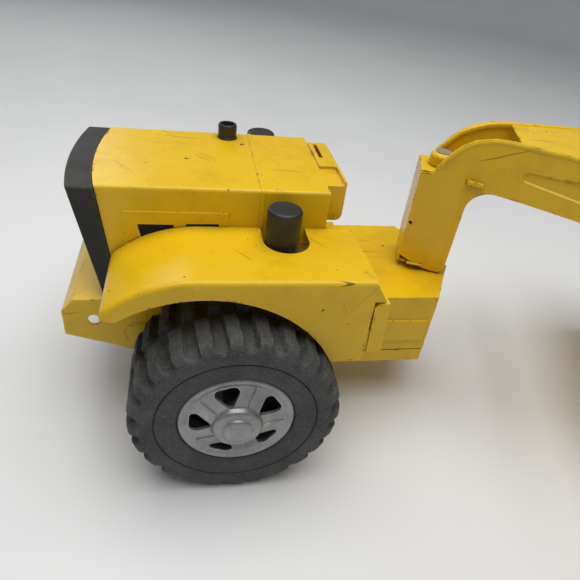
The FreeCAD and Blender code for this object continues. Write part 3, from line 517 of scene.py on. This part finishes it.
RIM_FRONT = [(32.95, 23.9), (32.85, 24.8), (32.4, 25.6), (31.6, 26.0), (30.6, 26.1), (29.6, 25.9),
             (28.6, 25.4), (27.7, 25.05), (26.9, 25.0), (25.9, 25.2), (23.0, 26.1), (20.0, 27.0),
             (17.0, 27.9), (15.3, 28.4), (14.6, 28.7), (14.2, 29.2), (13.9, 30.2), (13.4, 31.2),
             (12.6, 31.8), (11.5, 32.1), (9.6, 32.2), (8.9, 32.3), (8.6, 32.7), (8.4, 33.3), (7.8, 33.8),
             (6.6, 34.1), (4.4, 34.3), (2.2, 34.4), (0.4, 34.45)]
RIM_BACK = [(0.4, 26.6), (3.3, 24.0), (3.3, -26.0), (6.5, -26.0), (6.5, 25.2), (14.2, 26.4), (20.0, 24.9),
            (26.5, 23.1), (31.3, 22.6), (31.3, -24.0), (32.9, -24.0)]
WINDOWS = 5
WINDOW_POINT = 12.9
WINDOW_FAR = 26.4
WINDOW_HALF = 10.3
WINDOW_RADII = (2.3, 3.3, 3.3)
ROUND_STEPS = 6
CUT_LOW = 5
CUT_HIGH = 30
WEB = [(6.6, 4), (31.2, 4), (31.2, 5), (6.6, 5)]
# Degrees that the first wheel is turned, and that each next wheel is turned further.
RIM_TURN = -2.5
WHEEL_TURN = 31


def window_outline():
    """A rounded triangle with its point towards the hub, in millimetres."""
    corners = [Vector((WINDOW_POINT, 0)), Vector((WINDOW_FAR, WINDOW_HALF)),
               Vector((WINDOW_FAR, -WINDOW_HALF))]
    points = []
    for index, corner in enumerate(corners):
        before = (corners[index - 1] - corner).normalized()
        after = (corners[(index + 1) % 3] - corner).normalized()
        half = before.angle(after) / 2
        radius = WINDOW_RADII[index]
        centre = corner + (before + after).normalized() * radius / math.sin(half)
        start = corner + before * radius / math.tan(half) - centre
        end = corner + after * radius / math.tan(half) - centre
        sweep = start.angle_signed(end)
        for step in range(ROUND_STEPS + 1):
            turned = start.copy()
            turned.rotate(Matrix.Rotation(-sweep * step / ROUND_STEPS, 2))
            points.append(centre + turned)
    return points


def prism(points, low, high):
    """An upright prism from an outline in millimetres."""
    count = len(points)
    verts = [(p.x * MM, p.y * MM, z * MM) for z in (low, high) for p in points]
    faces = [tuple(range(count))[::-1], tuple(range(count, 2 * count))]
    for index in range(count):
        follow = (index + 1) % count
        faces.append((index, follow, count + follow, count + index))
    return solid_mesh("prism", verts, faces)


def join_meshes(parts):
    """One mesh from several (mesh, matrix) pairs."""
    whole = bmesh.new()
    for mesh, place in parts:
        part = bmesh.new()
        part.from_mesh(mesh)
        part.transform(place)
        part.to_mesh(mesh)
        part.free()
        whole.from_mesh(mesh)
    joined = bpy.data.meshes.new("joined")
    whole.to_mesh(joined)
    whole.free()
    return joined


def spoke_rib():
    """A thin raised line that runs out along a spoke."""
    ball = bmesh.new()
    bmesh.ops.create_uvsphere(ball, u_segments=16, v_segments=10, radius=1.0)
    half_sizes = Matrix.Diagonal((6.6 * MM, 0.85 * MM, 0.8 * MM, 1))
    lean = Matrix.Rotation(math.radians(16.7), 4, "Y")
    middle = Matrix.Translation((21.0 * MM, 0, 26.95 * MM))
    ball.transform(half_sizes)
    ball.transform(middle @ lean)
    mesh = bpy.data.meshes.new("rib")
    ball.to_mesh(mesh)
    ball.free()
    return mesh


def rim_turn(windows):
    """A turn about the axle by a number of window spacings."""
    return Matrix.Rotation(2 * math.pi * windows / WINDOWS, 4, "Z")


def rim_mesh():
    """A pressed rim with five rounded windows, spoke ribs and a domed hub."""
    disc = add_object("rim_disc", revolve(RIM_FRONT + RIM_BACK, 120))
    cutters = [(prism(window_outline(), CUT_LOW, CUT_HIGH), rim_turn(window)) for window in range(WINDOWS)]
    cutter = add_object("window_cutter", join_meshes(cutters))
    cut = disc.modifiers.new("windows", "BOOLEAN")
    cut.operation = "DIFFERENCE"
    cut.solver = "EXACT"
    cut.object = cutter
    edge = disc.modifiers.new("edges", "BEVEL")
    edge.width = 0.35 * MM
    edge.segments = 2
    edge.limit_method = "ANGLE"
    edge.angle_limit = math.radians(40)
    bpy.context.view_layer.update()
    apply_modifiers(disc)
    ribs = [(spoke_rib(), rim_turn(window + 0.5)) for window in range(WINDOWS)]
    mesh = join_meshes([(disc.data.copy(), Matrix.Identity(4))] + ribs)
    bpy.data.objects.remove(disc)
    bpy.data.objects.remove(cutter)
    return mesh


def wheel_place(name):
    """Where a wheel's own axis frame lies: Z outward along the axle."""
    end, side = name.split("_")
    low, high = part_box(f"{end}_tyre_{side}")
    centre = (low + high) / 2
    centre.z = TYRE_RADIUS * MM
    turn = Matrix.Rotation(STEER, 4, "Z") if end == "front" else Matrix.Identity(4)
    lay = Matrix.Rotation(math.radians(-90 if side == "left" else 90), 4, "X")
    return Matrix.Translation(centre) @ turn @ lay


def make_wheels():
    """Detailed tyres, rims and inner webs for the four wheels."""
    tyre = tyre_mesh()
    rim = rim_mesh()
    web = revolve(WEB, 48)
    for index, name in enumerate(WHEELS):
        place = wheel_place(name)
        spin = Matrix.Rotation(math.radians(RIM_TURN + WHEEL_TURN * index), 4, "Z")
        body = name + "_wheel"
        end, side = name.split("_")
        tyre_nodes = [f"{end}_tyre_{side}"]
        rim_nodes = [f"{end}_rim_{side}", f"{end}_hub_cap_{side}"]
        for part, mesh, slot, crease, nodes in (("tyre", tyre, "tyre_rubber", 50, tyre_nodes),
                                                ("rim", rim, "silver_paint", 38, rim_nodes)):
            piece = new_object(name + "_" + part + "_detail", mesh.copy(), slot)
            piece.data.transform(place @ spin)
            shade_smooth(piece, crease)
            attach(piece, body)
            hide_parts(*nodes)
        inner = new_object(name + "_inner_web", web.copy(), "black_plastic")
        inner.data.transform(place @ spin)
        shade_smooth(inner)
        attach(inner, body)


# ---------- gooseneck ----------

# The lips' path runs along a side plate's top edge as (x, z), drawn flat, in millimetres.
LIP_PATH = [(4.2, 173.2), (0.3, 180.1), (-3.5, 184.9), (-8.5, 190.3), (-15.0, 194.4), (-25.0, 197.7),
            (-32.0, 198.6), (-40.0, 199.0), (-62.0, 199.0), (-84.0, 199.0), (-95.0, 198.0), (-106.0, 195.9),
            (-117.0, 191.8), (-127.0, 186.2)]
LIP_THICK = 3.4
LIP_DEEP = 3.2
LIP_HIGH = 0.15
LIP_PROUD = 0.45
BEND_X = -15.0
BEND_Y = 14.5
PLATE_Y = 15.5
FLARE = math.radians(-15.5)


def flared(x, y, z, sign):
    """A point of the left side plate, drawn flat, put where the flared plate stands on one side."""
    if x < BEND_X:
        along = x - BEND_X
        aside = y - BEND_Y
        x = BEND_X + along * math.cos(FLARE) - aside * math.sin(FLARE)
        y = BEND_Y + along * math.sin(FLARE) + aside * math.cos(FLARE)
    return (x * MM, sign * y * MM, z * MM)


def neck_lips():
    """The rolled lips along the top edges of the gooseneck's side plates."""
    for side, sign in (("left", 1), ("right", -1)):
        verts = []
        faces = []
        last = len(LIP_PATH) - 1
        for index, (x, z) in enumerate(LIP_PATH):
            before = Vector(LIP_PATH[max(0, index - 1)])
            after = Vector(LIP_PATH[min(last, index + 1)])
            along = (after - before).normalized()
            upright = Vector((along.y, -along.x))
            if upright.y < 0:
                upright.negate()
            high = Vector((x, z)) + upright * LIP_HIGH
            low = Vector((x, z)) - upright * LIP_DEEP
            for point, y in ((high, PLATE_Y + LIP_PROUD), (high, PLATE_Y - LIP_THICK),
                             (low, PLATE_Y - LIP_THICK), (low, PLATE_Y + LIP_PROUD)):
                verts.append(flared(point.x, y, point.y, sign))
        for index in range(last):
            first = 4 * index
            for corner in range(4):
                follow = (corner + 1) % 4
                faces.append((first + corner, first + follow, first + 4 + follow, first + 4 + corner))
        faces.append((0, 1, 2, 3))
        faces.append(tuple(4 * last + corner for corner in range(4)))
        name = "gooseneck_lip_" + side
        lip = new_object(name, solid_mesh(name, verts, faces), "yellow_enamel")
        soften(lip, 1.45 * MM, segments=4, angle=35)
        apply_modifiers(lip)
        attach(lip, "gooseneck")


def worn_pin():
    """The bare worn face on top of the king pin's head."""
    profile = [(0.3, 179.9), (5.0, 179.9), (5.0, 180.06), (4.2, 180.14), (0.3, 180.14)]
    piece = new_object("king_pin_worn_face", revolve(profile, 48), "zinc_steel")
    shade_smooth(piece)
    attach(piece, "tractor")


# ---------- studio ----------

def add_camera():
    """The camera stands to the left of the tractor and looks down across it. Angles are in radians."""
    yaw = -0.239
    pitch = 0.62
    roll = 0.137
    ahead = Vector((math.sin(yaw), -math.cos(yaw), 0))
    aside = Vector((-math.cos(yaw), -math.sin(yaw), 0))
    forward = math.cos(pitch) * ahead - math.sin(pitch) * UP
    upright = math.cos(pitch) * UP + math.sin(pitch) * ahead
    right = math.cos(roll) * aside + math.sin(roll) * upright
    up = -math.sin(roll) * aside + math.cos(roll) * upright
    axes = Matrix((right, up, -forward)).transposed().to_4x4()
    eye = Matrix.Translation(Vector((162.15, 302.23, 291.87)) * MM)
    data = bpy.data.cameras.new("camera")
    data.sensor_width = 36.0
    data.lens = 32.36
    data.clip_start = 0.01
    camera = add_object("camera", data)
    camera.matrix_world = Matrix.Rotation(STEER, 4, "Z") @ eye @ axes
    bpy.context.scene.camera = camera


def add_floor():
    """A pale round floor that curves up into a wall far from the toy on every side."""
    flat = 2.0
    curve = 0.7
    wall = 2.4
    turns = 96
    flat_rings = 4
    curve_rings = 12
    below_toy = 0.0002
    rows = [(flat * step / flat_rings, 0.0) for step in range(1, flat_rings + 1)]
    for step in range(1, curve_rings + 1):
        angle = math.radians(90 * step / curve_rings)
        rows.append((flat + curve * math.sin(angle), curve * (1 - math.cos(angle))))
    rows.append((flat + curve, wall))
    verts = [(0.0, 0.0, 0.0)]
    for radius, height in rows:
        for turn in range(turns):
            angle = 2 * math.pi * turn / turns
            verts.append((radius * math.cos(angle), radius * math.sin(angle), height))
    faces = [(0, 1 + turn, 1 + (turn + 1) % turns) for turn in range(turns)]
    for row in range(len(rows) - 1):
        for turn in range(turns):
            first = 1 + row * turns + turn
            beside = 1 + row * turns + (turn + 1) % turns
            faces.append((first, first + turns, beside + turns, beside))
    mesh = bpy.data.meshes.new("floor")
    mesh.from_pydata(verts, [], faces)
    floor = add_object("floor", mesh)
    mesh.materials.append(floor_paint())
    for polygon in mesh.polygons:
        polygon.use_smooth = True
    floor.location.z = CAD_BOX[0][2] - below_toy


def add_light(name, spot, aim, size, power, colour):
    """A square soft light that faces a point."""
    data = bpy.data.lights.new(name, "AREA")
    data.shape = "SQUARE"
    data.size = size
    data.energy = power
    data.color = colour
    light = add_object(name, data)
    light.location = spot
    light.rotation_euler = (Vector(aim) - Vector(spot)).to_track_quat("-Z", "Y").to_euler()


def add_studio():
    """A large overhead softbox, one weak fill from ahead on the right, and a dim pale surround."""
    add_light("overhead", spot=(0.0, 0.15, 1.35), aim=(0.0, 0.05, 0.05), size=1.3, power=19,
              colour=(1.0, 0.985, 0.96))
    add_light("fill", spot=(1.1, -1.0, 1.0), aim=(0.1, 0.0, 0.1), size=0.8, power=3.5,
              colour=(1.0, 1.0, 1.0))
    world = bpy.data.worlds.new("surround")
    world.use_nodes = True
    background = world.node_tree.nodes["Background"]
    background.inputs["Color"].default_value = (0.84, 0.90, 0.96, 1)
    background.inputs["Strength"].default_value = 0.12
    bpy.context.scene.world = world
    bpy.context.scene.view_settings.view_transform = "Standard"


paint_cad_nodes()
make_wheels()
neck_lips()
worn_pin()
add_camera()
add_floor()
add_studio()
